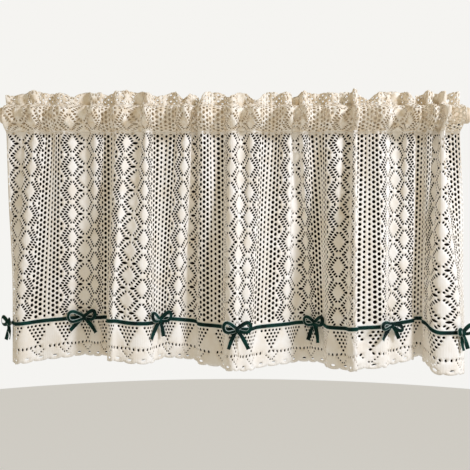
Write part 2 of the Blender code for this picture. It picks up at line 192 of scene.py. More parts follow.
def makeSelvedgeHighlight():
    # The ribbon's woven edge has no pile: flat and a little silky. Its pale tone is painted highlight, the light that
    # the strap edges catch.
    material, tree, shader = newMaterial("selvedgeHighlight")
    place = addNode(tree, "ShaderNodeTexCoord")
    picks = addNode(tree, "ShaderNodeTexNoise", {}, {"Scale": 1000 / velvetLook["pickSize"], "Detail": 1.0},
                    {"Vector": place.outputs["Object"]})
    tone = addNode(tree, "ShaderNodeValToRGB", {}, {}, {"Fac": picks.outputs["Fac"]})
    setStops(tone, [(0.3, velvetLook["selvedgeShade"]), (0.7, velvetLook["highlitSelvedge"])])
    tree.links.new(tone.outputs["Color"], shader.inputs["Base Color"])
    shader.inputs["Roughness"].default_value = 0.55
    return material


rodLook = {
    "paint": "#e6d7c0",
    "wear": "#d4c1a4",
    "wearSize": 35.0,  # mm
    "peelSize": 1.8,  # mm
    "peelDepth": 0.05,  # mm
    "roughness": 0.38,
}


def makeRodEnamel():
    # Stoved enamel on steel tube: smooth, cream, half gloss, with faint orange peel.
    material, tree, shader = newMaterial("stovedEnamel")
    place = addNode(tree, "ShaderNodeTexCoord")
    cloud = addNode(tree, "ShaderNodeTexNoise", {}, {"Scale": 1000 / rodLook["wearSize"], "Detail": 3.0},
                    {"Vector": place.outputs["Object"]})
    tone = addNode(tree, "ShaderNodeValToRGB", {}, {}, {"Fac": cloud.outputs["Fac"]})
    setStops(tone, [(0.3, rodLook["wear"]), (0.6, rodLook["paint"])])
    peel = addNode(tree, "ShaderNodeTexNoise", {}, {"Scale": 1000 / rodLook["peelSize"], "Detail": 1.0},
                   {"Vector": place.outputs["Object"]})
    bump = addNode(tree, "ShaderNodeBump", {}, {"Strength": 0.15, "Distance": rodLook["peelDepth"] * mm},
                   {"Height": peel.outputs["Fac"]})
    tree.links.new(tone.outputs["Color"], shader.inputs["Base Color"])
    tree.links.new(bump.outputs["Normal"], shader.inputs["Normal"])
    shader.inputs["Roughness"].default_value = rodLook["roughness"]
    return material


knittedCotton = makeLaceCotton("knittedCotton", laceLook["thread"], laceLook["shadedThread"], laceLook["slubSize"])
# The heading gets a darker, warmer and more mottled copy of the cotton: painted shade that stands in for the shade in
# its creases and between its doubled layers.
creaseShadedCotton = makeLaceCotton("creaseShadedCotton", laceLook["creaseShadedThread"], laceLook["creaseShade"],
                               laceLook["creaseSize"])
wovenVelvet = makeVelvet()
selvedgeHighlight = makeSelvedgeHighlight()
stovedEnamel = makeRodEnamel()


# How the cloth hangs, in mm: u runs across the flat cloth and v down it from the lower stitch line.
# The folds are those of the part, with their depth set a little finer.

cloth = {
    "left": -8.0,
    "right": 1100.0,
    "drop": 381.0,
    "repeat": 124.0,
    "firstBand": 16.0,
    "bands": 8,
    "foldedNet": 30.0,
    "rowRepeat": 40.0,
    "lastLeafRow": 299.0,
    "scallopWidth": 20.0,
    "scallopDepth": 2.6,
    "thick": 0.7,
    "lowerStitch": -27.0,
    "upperStitch": 18.0,
    "headerTop": 38.0,
    "headerEdge": 1.2,  # the header's two layers part this far below its top
    "tunnel": 13.6,
    "backHem": 3.5,  # the folded-back edge ends this far below the lower stitch line
    "view": 1077.0,
    "topRow": 30.0,
    "lowRow": 252.0,
    "flareStart": 0.15,
    "flareRow": 240.0,
    "ribbonRow": 315.0,
    "pastRows": (-0.13, 1.15),  # how far the way of the folds goes on above topRow and below lowRow
    "tightest": 0.3,  # the least width that a gathered millimetre takes
    "softened": 0.55,  # how much of each small fold is left in the open drop
    "levelled": 0.85,  # and how much of it draws the cloth in sideways
}
pucker = cloth["repeat"] / 2

folds = (
    ("u", "top", "low", "depth", "drop"),
    (-8, -374, -366, 14, 1),
    (2, -366, -368, 3, 0),
    (16, -354, -363, -9, 0),
    (39, -332, -349, -14, -1),
    (99, -285, -287, -2, -7),
    (140, -248, -248, 6, -9),
    (181, -219, -220, 12, -8),
    (223, -192, -203, -28, -8),
    (241, -180, -197, -37, -8),
    (264, -159, -177, -37, -5),
    (305, -137, -139, -23, -3),
    (347, -97, -109, -5, -8),
    (388, -71, -78, 5, -4),
    (429, -54, -53, -4, 1),
    (471, -18, -21, -22, 4),
    (505, 6, 2, -46, 4),
    (535, 25, 17, -30, 6),
    (595, 76, 69, -2, 3),
    (636, 100, 103, 17, 2),
    (659, 111, 120, 25, 2),
    (677, 120, 130, 19, 2),
    (719, 157, 157, -16, 4),
    (760, 191, 186, -45, 4),
    (783, 198, 198, -52, 2),
    (801, 203, 200, -44, 4),
    (843, 239, 242, -25, 2),
    (862, 252, 251, -20, 1),
    (884, 267, 261, -21, 0),
    (925, 290, 288, -2, -5),
    (967, 312, 307, 12, -6),
    (977, 316, 312, 6, -5),
    (995, 322, 314, -10, -3),
    (1015, 332, 319, -26, 1),
    (1038, 340, 342, -34, 11),
    (1061, 347, 364, -32, 11),
    (1100, 370, 379, 4, 16),
)

headerDips = (
    ("u", "dip"),
    (8, 6),
    (117, 8),
    (315, 6),
    (362, 11),
    (420, 17),
    (480, 10),
    (545, 16),
    (638, 5),
    (822, 10),
    (930, 10),
    (1065, 7),
)


def table(rows):
    names, values = rows[0], np.array(rows[1:], float)
    return {name: values[:, i] for i, name in enumerate(names)}


def through(points, values, at):
    # A smooth curve through the points that never overshoots them. values may hold a row of numbers per point.
    points, at = np.asarray(points, float), np.asarray(at, float)
    spare = (slice(None),) + (None,) * (values.ndim - 1)
    gaps = np.diff(points)[spare]
    steps = np.diff(values, axis=0) / gaps
    slopes = np.zeros(values.shape)
    product = steps[:-1] * steps[1:]
    total = steps[:-1] + steps[1:]
    slopes[1:-1] = np.where(product > 0, 2 * product / np.where(product > 0, total, 1), 0)
    slopes[0], slopes[-1] = steps[0], steps[-1]
    i = np.clip(np.searchsorted(points, at) - 1, 0, len(points) - 2)
    t = ((at - points[i]) / np.diff(points)[i])[spare]
    rise = values[i + 1] - values[i]
    start, end = slopes[i] * gaps[i], slopes[i + 1] * gaps[i]
    return values[i] + t * (start + t * (3 * rise - 2 * start - end + t * (start + end - 2 * rise)))


def meanOver(values, width, rise=0.0):
    # rise continues the values evenly past both ends
    half = int(width / 2)
    more = rise * np.arange(1, half + 1)
    padded = np.concatenate([values[0] - more[::-1], values, values[-1] + more])
    return np.convolve(padded, np.ones(2 * half + 1) / (2 * half + 1), "valid")


def smoothStep(value):
    value = np.clip(value, 0, 1)
    return value * value * (3 - 2 * value)


fold = table(folds)
dip = table(headerDips)
across = np.arange(cloth["left"], cloth["right"] + 0.5)
drift = 0.9 * np.sin(across / 97) + 0.5 * np.sin(across / 41 + 1)
wave = np.cos(2 * math.pi * (across - cloth["firstBand"]) / pucker + drift)


def clothRow(v):
    # One row of the hung cloth: where each millimetre of its width lies, and how high its small folds stand.
    along = np.clip((v - cloth["topRow"]) / (cloth["lowRow"] - cloth["topRow"]), *cloth["pastRows"])
    flare = cloth["flareStart"] + (1 - cloth["flareStart"]) * smoothStep(v / cloth["flareRow"])
    depth = through(fold["u"], fold["depth"], across) * flare
    x = through(fold["u"], fold["top"] + along * (fold["low"] - fold["top"]), across) * (1 + depth / cloth["view"])
    used = meanOver(np.clip(np.hypot(np.gradient(x), np.gradient(depth)), cloth["tightest"], 1), pucker)
    height = meanOver(pucker / math.pi * np.sqrt(1 - used), pucker)
    y = depth + cloth["softened"] * height * wave
    level = np.sqrt(np.clip(1 - np.gradient(depth + cloth["levelled"] * height * wave) ** 2, 0.05, 1))
    run = np.cumsum(level)
    x = x + run - meanOver(run, pucker, level.mean())
    z = cloth["lowerStitch"] - v - through(fold["u"], fold["drop"], across) * v / cloth["ribbonRow"]
    return x, y, z, height


gathers = {
    "pitch": 14.5,  # mm of flat cloth for each small gather
    "atStitch": 1.9,  # mm
    "inHeader": 4.2,
    "inPocket": 2.6,
    "headerPitch": 25.0,
    "fade": 40.0,  # mm below the stitch line
    "front": 0.9,  # mm, half of the way between the front and the back layer at a stitch line
    "dipWidth": 9.0,
}
slowWave = 0.6 + 0.4 * np.sin(across / 51 + 0.7)


def ripple(pitch, shift=0.0):
    u = across + shift
    return np.sin(2 * math.pi * u / pitch + 1.7 * np.sin(u / 33) + 1.1 * np.sin(u / 71 + 2))


def headingKeys():
    # rows of points up the pocket's front, over the header's top and down the back
    x, y, z, height = clothRow(0.0)
    out, back = height * (1 - wave), height * (1 + wave)
    dips = sum(d * np.exp(-((across - u) ** 2) / (2 * gathers["dipWidth"]**2)) for u, d in zip(dip["u"], dip["dip"]))
    top = cloth["headerTop"] - dips + 1.5 * np.sin(across / 17) + 0.9 * np.sin(across / 5.3)
    tunnel, lean = cloth["tunnel"], 1.25 * y
    edge = tunnel * math.tan(math.pi / 8)
    low, neck = edge + 11.5, tunnel * 0.66
    ruffle = gathers["inHeader"] * ripple(gathers["headerPitch"]) * (0.5 + slowWave / 2)
    lowest = cloth["lowerStitch"] + 0 * across
    pitch, deep = gathers["pitch"], gathers["inPocket"]

    def bulge(shift):
        return deep * (1 + ripple(pitch, shift)) * slowWave

    def level(value):
        return np.full(len(across), float(value))

    pinch = 1.1 * ripple(pitch, 7)
    foot = 0.9 * ripple(pitch, -4)
    front = gathers["front"]
    rows = [
        (y + foot - front, lowest),
        (-neck - 1 - 0.7 * out - 0.7 * bulge(-3), level(-low)),
        (-tunnel - 1 - out - bulge(-1), level(-edge)),
        (-tunnel - 1 - out - bulge(2), level(edge)),
        (-edge - 1 - 0.5 * out - 0.6 * bulge(5), level(tunnel + 1)),
        (y - front + pinch, level(cloth["upperStitch"])),
        (lean - front + ruffle, top - cloth["headerEdge"]),
        (lean + ruffle, top),
        (lean + front + ruffle, top - cloth["headerEdge"]),
        (y + front + pinch, level(cloth["upperStitch"])),
        (edge + 1 + 0.5 * back + 0.6 * bulge(5), level(tunnel + 1)),
        (tunnel + 1 + back + bulge(2), level(edge)),
        (tunnel + 1 + back + bulge(-1), level(-edge)),
        (neck + 1 + 0.7 * back + 0.7 * bulge(-3), level(-low)),
        (y + foot + 0.8, lowest),
        (y + foot + 0.8, lowest - cloth["backHem"]),
    ]
    return np.stack([np.stack([x, py, pz], 1) for py, pz in rows])


keys = headingKeys()
lengths = np.linalg.norm(np.diff(keys, axis=0), axis=2).mean(1)
keyRows = -np.concatenate([[0], np.cumsum(lengths)])  # v of each row of points
hemRow = keyRows[-1]
headRows = np.unique(np.concatenate([np.linspace(hemRow, 0, 90), keyRows]))
headGrid = through(keyRows[::-1], keys[::-1], headRows)
bodyRows = np.arange(3.0, cloth["drop"] + 0.1, 3.0)
bodyGrid = []
for v in bodyRows:
    x, y, z, _ = clothRow(v)
    gathered = gathers["atStitch"] * ripple(gathers["pitch"], -4) * slowWave * math.exp(-v / gathers["fade"])
    y = y + gathered - gathers["front"] * math.exp(-v / 9)
    bodyGrid.append(np.stack([x, y, z], 1))
rowPlaces = np.concatenate([headRows, bodyRows])
grid = np.concatenate([headGrid, np.array(bodyGrid)])
downward = np.gradient(grid, rowPlaces, axis=0)
sideways = np.gradient(grid, axis=1)
normalGrid = -np.cross(sideways, downward)
normalGrid /= np.linalg.norm(normalGrid, axis=2, keepdims=True)


def onCloth(u, v, lift=0.0):
    # Points of the hung cloth at flat places, this far in front of its middle.
    i = np.interp(v, rowPlaces, np.arange(len(rowPlaces)))
    j = np.clip(np.asarray(u, float) - cloth["left"], 0, len(across) - 1)
    i0 = np.clip(i.astype(int), 0, len(rowPlaces) - 2)
    j0 = np.clip(j.astype(int), 0, len(across) - 2)
    a, b = (i - i0)[:, None], (j - j0)[:, None]

    def mix(field):
        near = field[i0, j0] * (1 - b) + field[i0, j0 + 1] * b
        far = field[i0 + 1, j0] * (1 - b) + field[i0 + 1, j0 + 1] * b
        return near * (1 - a) + far * a

    normals = mix(normalGrid)
    normals /= np.linalg.norm(normals, axis=1, keepdims=True)
    return mix(grid) + np.reshape(lift, (-1, 1)) * normals, normals


note("cloth surface")


# The lace pattern: every hole is a small polygon in flat cloth

pattern = {
    "netPitch": 5.9,
    "netRow": 8.0,
    "netHole": (4.9, 5.9),
    "midNetHole": (3.5, 5.2),
    "slit": (6.2, 3.6),
    "centreLozenge": (15.4, 16.6),  # half width and half height of the line that its slits stand on
    "sideLozenge": (11.4, 17.0),
    "sideLozengeAt": 23.0,
    "zigZagOut": 41.4,
    "zigZagIn": 30.4,
    "borderRow": 5.5,
    "borderPitch": 5.8,
    "borderHole": (4.0, 4.5),
    "slitSteps": (0.2, 0.4, 0.6, 0.8),  # where the slits stand on one side of a lozenge
    "zigZagSteps": (0.22, 0.41, 0.6, 0.79),
    "zigZagWay": (0.877, 0.482),
    "outerHole": (4.6, 5.2),
    "innerHole": (3.4, 5.8),
    "netClear": 5.7,  # from the zig-zag edge to the middle of a net hole
    "firstTriangle": 26.0,
    "triangleTop": 322.5,
    "triangleRows": 6,
    "slitLine": (358.2, 0.006),  # the row of slits, and how much it bends up
    "borderSlit": (3.1, 5.4),
    "dot": (2.4, 2.8),
    "firstEyelet": 10.0,
    "eyeletRow": 374.6,
    "eyelet": (6.4, 3.5),
}


def oval(u, v, wide, tall, turn=0.0, points=6):
    # An oval hole. turn is from upright, in radians.
    t = 2 * math.pi * (np.arange(points) + 0.5) / points
    a, b = wide / 2 * np.cos(t), tall / 2 * np.sin(t)
    return np.stack([u + a * math.cos(turn) + b * math.sin(turn), v - a * math.sin(turn) + b * math.cos(turn)], 1)


wedge = ((12.6, 0), (14.2, -1.5), (16.8, -2.1), (18.2, -1.1), (18.2, 1.1), (16.8, 2.1), (14.2, 1.5))
leaf = ((3.8, 0), (5.6, -1.6), (8.4, -2.4), (11.4, -1.8), (14.0, 0), (11.4, 1.8), (8.4, 2.4), (5.6, 1.6))


def shaped(u, v, points):
    return np.array([(u + a, v + b) for a, b in points], float)


def lozengeSlits(u, v, halfWide, halfTall, skipInner=0):
    # the ring of radial slits round one solid lozenge
    length, width = pattern["slit"]
    holes = []
    for sx in (-1, 1):
        for sy in (-1, 1):
            for t in pattern["slitSteps"]:
                full = 1 + 0.1 * math.sin(math.pi * t)
                a, b = sx * halfWide * (1 - t) * full, sy * halfTall * t * full
                normal = np.array([sx / halfWide, sy / halfTall])
                normal /= np.linalg.norm(normal)
                radial = np.array([a, b]) / math.hypot(a, b)
                way = 0.6 * normal + 0.4 * radial
                reach = length * (0.78 if t > 0.7 or sx == skipInner and t < 0.3 else 1)
                holes.append(oval(u + a, v + b, width, reach, math.atan2(way[0], way[1])))
    return holes


def bandHoles(c, v):
    # one repeat of a band, with its leaf row at v and its middle lozenge half a repeat below
    half = cloth["rowRepeat"] / 2
    side = pattern["sideLozengeAt"]
    far, near = pattern["zigZagOut"], pattern["zigZagIn"]
    length, width = pattern["slit"]
    holes = lozengeSlits(c, v + half, *pattern["centreLozenge"])
    for s in (-1, 1):
        holes.append(shaped(c, v + half, [(s * a, b) for a, b in wedge]))
        holes += lozengeSlits(c + s * side, v, *pattern["sideLozenge"], skipInner=-s)
        holes.append(shaped(c, v, [(s * a, b) for a, b in leaf]))
        holes.append(shaped(c + s * side, v, [(s * (a - 3.7), b) for a, b in wedge]))
        holes.append(oval(c + s * (far + 0.4), v, *pattern["outerHole"], points=8))
        # the zig-zag between band and net
        holes.append(oval(c + s * near, v + half, *pattern["innerHole"], points=8))
        for sy in (-1, 1):
            turn = math.atan2(s * pattern["zigZagWay"][0], sy * pattern["zigZagWay"][1])
            for t in pattern["zigZagSteps"]:
                holes.append(oval(c + s * (far + (near - far) * t), v + sy * half * t, width, length, turn))
    return holes


def zigZag(p, q):
    # How far a flat place stands outside the zig-zag edge of a band. p is from the band's middle, q from a leaf row.
    half = cloth["rowRepeat"] / 2
    q = abs((q + half) % cloth["rowRepeat"] - half)
    return p - (pattern["zigZagOut"] + (pattern["zigZagIn"] - pattern["zigZagOut"]) * q / half)


def netHoles(low, high, leftBand, rightBand, vLow, vHigh):
    # Net between two bands. low and high bound it, and its middle pair of columns is smaller.
    middle = (low + high) / 2
    count = int(round((high - low - 20) / pattern["netPitch"] / 2)) * 2
    holes = []
    for k in range(count):
        offset = (k - (count - 1) / 2) * pattern["netPitch"]
        u = middle + offset
        small = abs(offset) < pattern["netPitch"] * 0.6
        phase = 0.5 * (k % 2)
        for n in range(int(vLow / pattern["netRow"]) - 1, int(vHigh / pattern["netRow"]) + 2):
            v = (n + phase) * pattern["netRow"] + cloth["lastLeafRow"] % pattern["netRow"]
            q = v - cloth["lastLeafRow"]
            if leftBand is not None and zigZag(u - leftBand, q) < pattern["netClear"]:
                continue
            if rightBand is not None and zigZag(rightBand - u, q) < pattern["netClear"]:
                continue
            holes.append(oval(u, v, *(pattern["midNetHole"] if small else pattern["netHole"]), points=8))
    return holes


def borderHoles():
    # under the ribbon: triangles of round holes, a row of slits under them, dotted points and eyelets
    holes = []
    row, pitch, period = pattern["borderRow"], pattern["borderPitch"], cloth["rowRepeat"]
    count = pattern["triangleRows"]
    slitRow, bend = pattern["slitLine"]
    for k in range(-2, 30):
        u = pattern["firstTriangle"] + period * k
        for n in range(count):
            for m in range(count - n):
                offset = (m - (count - 1 - n) / 2) * pitch
                holes.append(oval(u + offset, pattern["triangleTop"] + n * row, *pattern["borderHole"]))
        for off in (-16.7, -10.0, -3.3, 3.3, 10.0, 16.7):
            v = slitRow - bend * off * off
            holes.append(oval(u + period / 2 + off, v, *pattern["borderSlit"], math.atan2(-off, 34)))
        for off, v in ((-7.8, 362.6), (7.8, 362.6), (-4.6, 366.2), (4.6, 366.2), (-1.7, 369.6), (1.7, 369.6)):
            holes.append(oval(u + off, v, *pattern["dot"]))
    for k in range(-1, 57):
        u = pattern["firstEyelet"] + cloth["scallopWidth"] * k
        holes.append(oval(u, pattern["eyeletRow"], *pattern["eyelet"], points=8))
    return holes


wholeBands = [cloth["firstBand"] + cloth["repeat"] * i for i in range(cloth["bands"])]
bandCentres = wholeBands + [wholeBands[-1] + cloth["repeat"] + cloth["foldedNet"]]


def allHoles(vLow, vHigh):
    # Every hole whose pattern row lies in these rows.
    holes = []
    firstRow = int((vLow - cloth["lastLeafRow"]) / cloth["rowRepeat"]) - 1
    for c in bandCentres:
        for k in range(firstRow, 1):
            holes += bandHoles(c, cloth["lastLeafRow"] + cloth["rowRepeat"] * k)
    for left, right in zip(bandCentres, bandCentres[1:]):
        holes += netHoles(left + 23, right - 23, left, right, vLow, vHigh)
    last = bandCentres[-1]
    holes += netHoles(last + 23, last + 101, last, None, vLow, vHigh)
    holes = [h for h in holes if h[:, 1].max() < 312.5]
    if vHigh > 330:
        holes += borderHoles()
    return holes


def scallop(u):
    phase = np.abs((u / cloth["scallopWidth"]) % 1.0 - 0.5) * 2
    return cloth["scallopDepth"] * (1 - np.sqrt(np.maximum(1 - phase**2, 0)))


def buildLace(name, uLow, uHigh, vLow, vHigh, cotton, opened=1.0):
    # A stretch of the lace as one closed mesh, with every hole cut through. opened scales the holes.
    margin = 0.9
    joins = [c + cloth["repeat"] / 2 for c in bandCentres]
    strips = [uLow] + [u for u in joins if uLow + 20 < u < uHigh - 20] + [uHigh]
    holes = [h.mean(0) + (h - h.mean(0)) * opened for h in allHoles(vLow, vHigh)]
    holes = [h for h in holes if h[:, 1].min() > vLow + margin and h[:, 1].max() < vHigh - margin]
    flat, faces, start = [], [], 0
    for low, high in zip(strips, strips[1:]):
        inside = [h for h in holes if h[:, 0].min() > low + margin * 0.6 and h[:, 0].max() < high - margin * 0.6]
        sideRows = np.linspace(vLow, vHigh, max(2, int((vHigh - vLow) / 4)))
        steps = np.linspace(low, high, max(2, int(round((high - low) / 2))) + 1)
        foot = np.full(len(steps), vHigh) if vHigh < cloth["drop"] else vHigh - scallop(steps)
        outline = [(low, v) for v in sideRows[:-1]] + list(zip(steps, foot))[:-1]
        outline[len(sideRows) - 1] = (low, foot[0])
        outline += [(high, foot[-1])] + [(high, v) for v in sideRows[-2::-1]] + [(u, vLow) for u in steps[-2:0:-1]]
        points, loops = [], []
        for ring in [np.array(outline), *inside]:
            u, v = ring.T
            if (u * np.roll(v, -1) - v * np.roll(u, -1)).sum() < 0:
                ring = ring[::-1]
            loops.append(list(range(len(points), len(points) + len(ring))))
            points += [tuple(p) for p in ring]
        corners = np.array(points)
        # free points in the solid parts, so that they follow the folds
        tree = KDTree(len(corners))
        for i, p in enumerate(corners):
            tree.insert((p[0], p[1], 0), i)
        tree.balance()
        spare = []
        for a in np.arange(low + 2.3, high - 2, 4.5):
            for b in np.arange(vLow + 2.3, vHigh - 3, 4.5):
                if tree.find((a, b, 0))[2] > 2.1:
                    spare.append((a, b))
        vectors = [Vector(p) for p in points + spare]
        verts, _, triangles, _, _, owners = delaunay_2d_cdt(vectors, [], loops, 1, 1e-5)
        flat.append(np.array([tuple(p) for p in verts]))
        kept = [t for t, owner in zip(triangles, owners) if list(owner) == [0]]
        faces.append(np.array(kept) + start)
        start += len(verts)
    flat, faces = np.concatenate(flat), np.concatenate(faces)
    # one point for each place, so that the strips join
    _, first, same = np.unique(np.round(flat, 3), axis=0, return_index=True, return_inverse=True)
    flat, faces = flat[first], same.reshape(-1)[faces]
    used, faces = np.unique(faces, return_inverse=True)
    flat, faces = flat[used], faces.reshape(-1, 3)
    a, b, c = flat[faces[:, 0]], flat[faces[:, 1]], flat[faces[:, 2]]
    turn = (b[:, 0] - a[:, 0]) * (c[:, 1] - a[:, 1]) - (b[:, 1] - a[:, 1]) * (c[:, 0] - a[:, 0])
    faces = np.where((turn > 0)[:, None], faces[:, ::-1], faces)[np.abs(turn) > 1e-7]
    # v runs down, so these now turn the way that faces the viewer
    edges = np.concatenate([faces[:, [0, 1]], faces[:, [1, 2]], faces[:, [2, 0]]])
    code = edges[:, 0].astype(np.int64) * len(flat) + edges[:, 1]
    other = edges[:, 1].astype(np.int64) * len(flat) + edges[:, 0]
    rim = edges[~np.isin(code, other)]
    half = cloth["thick"] / 2
    front, _ = onCloth(flat[:, 0], flat[:, 1], half)
    back, _ = onCloth(flat[:, 0], flat[:, 1], -half)
    n = len(flat)
    points = np.concatenate([front, back]) * mm
    walls = np.stack([rim[:, 1], rim[:, 0], rim[:, 0] + n, rim[:, 1] + n], 1)
    mesh = bpy.data.meshes.new(name)
    mesh.from_pydata(points.tolist(), [], faces.tolist() + (faces[:, ::-1] + n).tolist() + walls.tolist())
    layer = mesh.uv_layers.new(name="flatCloth")
    index = np.zeros(len(mesh.loops), np.int32)
    mesh.loops.foreach_get("vertex_index", index)
    layer.data.foreach_set("uv", (np.concatenate([flat, flat]) * mm)[index].astype(np.float32).ravel())
    mesh.shade_smooth()
    mesh.materials.append(cotton)
    piece = bpy.data.objects.new(name, mesh)
    bpy.context.scene.collection.objects.link(piece)
    note(f"{name}: {len(holes)} holes, {2 * len(faces) + 2 * len(walls)} triangles")
    return piece


third = [cloth["left"], bandCentres[2] + 62, bandCentres[5] + 62, cloth["right"]]
seam = -1.0  # the lower stitch line lies in this row, between two rows of holes
laceHeading = buildLace("laceHeading", cloth["left"], cloth["right"], hemRow, seam, creaseShadedCotton, opened=0.94)
laceParts = [buildLace(f"laceDrop{i + 1}", third[i], third[i + 1], seam, cloth["drop"], knittedCotton)
             for i in range(3)]
for piece in [laceHeading, *laceParts]:
    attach(piece, "root")
    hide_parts("lace_panel")


# Ribbon and bows

ribbon = {"width": 6.8, "thick": 1.0, "lift": 0.75, "row": 315.0, "edge": 0.5}


def strap(path, sides, width, thick, edgeWidth=0.7):
    # A flat velvet strap along a path, with pile-less edges in a pale painted highlight. sides is the way of its
    # width at each point.
    path, sides = np.asarray(path, float), np.asarray(sides, float)
    tangent = np.gradient(path, axis=0)
    tangent /= np.linalg.norm(tangent, axis=1, keepdims=True)
    side = sides - tangent * (sides * tangent).sum(1, keepdims=True)
    side /= np.linalg.norm(side, axis=1, keepdims=True)
    face = np.cross(tangent, side)
    half, deep = width / 2, thick / 2
    rounding, low = 0.15, deep * 0.7
    section = [(-half, 0), (-half + rounding, low), (-half + edgeWidth, deep * 0.75), (-half * 0.5, deep),
               (0, deep * 1.1), (half * 0.5, deep), (half - edgeWidth, deep * 0.75), (half - rounding, low),
               (half, 0), (half - rounding, -low), (half * 0.5, -deep), (0, -deep), (-half * 0.5, -deep),
               (-half + rounding, -low)]
    selvedges = (0, 1, 6, 7, 8, 13)  # the sides of the section that carry no pile, and the pale painted highlight
    rings = np.stack([path + side * a + face * b for a, b in section], 1)
    count, around = rings.shape[:2]
    faces, edgeFaces = [], []
    for i in range(count - 1):
        for k in range(around):
            m = (k + 1) % around
            faces.append([i * around + k, i * around + m, (i + 1) * around + m, (i + 1) * around + k])
            edgeFaces.append(k in selvedges)
    faces += [list(range(around))[::-1], [(count - 1) * around + k for k in range(around)]]
    edgeFaces += [True, True]
    return rings.reshape(-1, 3), faces, edgeFaces


def meshFrom(name, shapes, materials):
    # One object from several (points, faces, whether a face is selvedge).
    points, faces, marks = [], [], []
    for p, f, e in shapes:
        start = sum(len(q) for q in points)
        points.append(p)
        faces += [[i + start for i in face] for face in f]
        marks += e
    mesh = bpy.data.meshes.new(name)
    mesh.from_pydata((np.concatenate(points) * mm).tolist(), [], faces)
    for material in materials:
        mesh.materials.append(material)
    mesh.polygons.foreach_set("material_index", [int(m) for m in marks])
    mesh.shade_smooth()
    mesh.update()
    piece = bpy.data.objects.new(name, mesh)
    bpy.context.scene.collection.objects.link(piece)
    return piece


ribbonU = np.arange(cloth["left"] + 1, cloth["right"] - 0.9, 2.0)
ribbonPath, ribbonNormals = onCloth(ribbonU, np.full(len(ribbonU), ribbon["row"]),
                                    cloth["thick"] / 2 + ribbon["lift"])
ribbonSides = np.cross(ribbonNormals, np.gradient(ribbonPath, axis=0))
ribbonShape = strap(ribbonPath, ribbonSides, ribbon["width"], ribbon["thick"], ribbon["edge"])
ribbonStrip = meshFrom("ribbonStrip", [ribbonShape], [wovenVelvet, selvedgeHighlight])
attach(ribbonStrip, "root")
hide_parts("ribbon")

# u: where the knot sits. reach: from the knot to a loop's tip. rise: the tip above the knot.
# tail: where a tail's end lies from the knot, across and down. facing: how far the bow turns to the front.
# loft: how open the loops are.
bows = (
    ("u", "leftReach", "leftRise", "rightReach", "rightRise", "leftTail", "leftDown", "rightTail", "rightDown",
     "facing", "loft"),
    (-4, 17, 5, 10, 4, -12, 30, 3, 28, 0.6, 0.24),
    (140, 25, 4, 19, 7, -23, 22, 20, 26, 0.7, 0.24),
    (328, 15, 10, 18, 10, -16, 30, 7, 27, 0.7, 0.24),
    (509, 22, 6, 22, 6, -14, 32, 19, 32, 0.7, 0.24),
    (677, 18, 6, 18, 8, -13, 30, 7, 33, 0.7, 0.24),
    (879, 23, 2, 18, -5, -20, 23, 14, 23, 2.0, 0.12),
    (1065, 8, 3, 17, 9, 3, 30, 11, 27, 1.6, 0.24),
)

bowSizes = {
    "strap": 6.7,
    "thick": 0.9,
    "knotWide": 6.5,
    "knotTall": 8.4,
    "knotThick": 1.6,
    "knotDeep": 7.4,
    "tilt": 28,  # degrees by which a loop's inner edge is lifted
    "twist": 0.45,
    "spread": 24,  # a bow faces the way its ribbon does over this much cloth on each side
    "clear": 2.2,
    "near": 5.0,
}


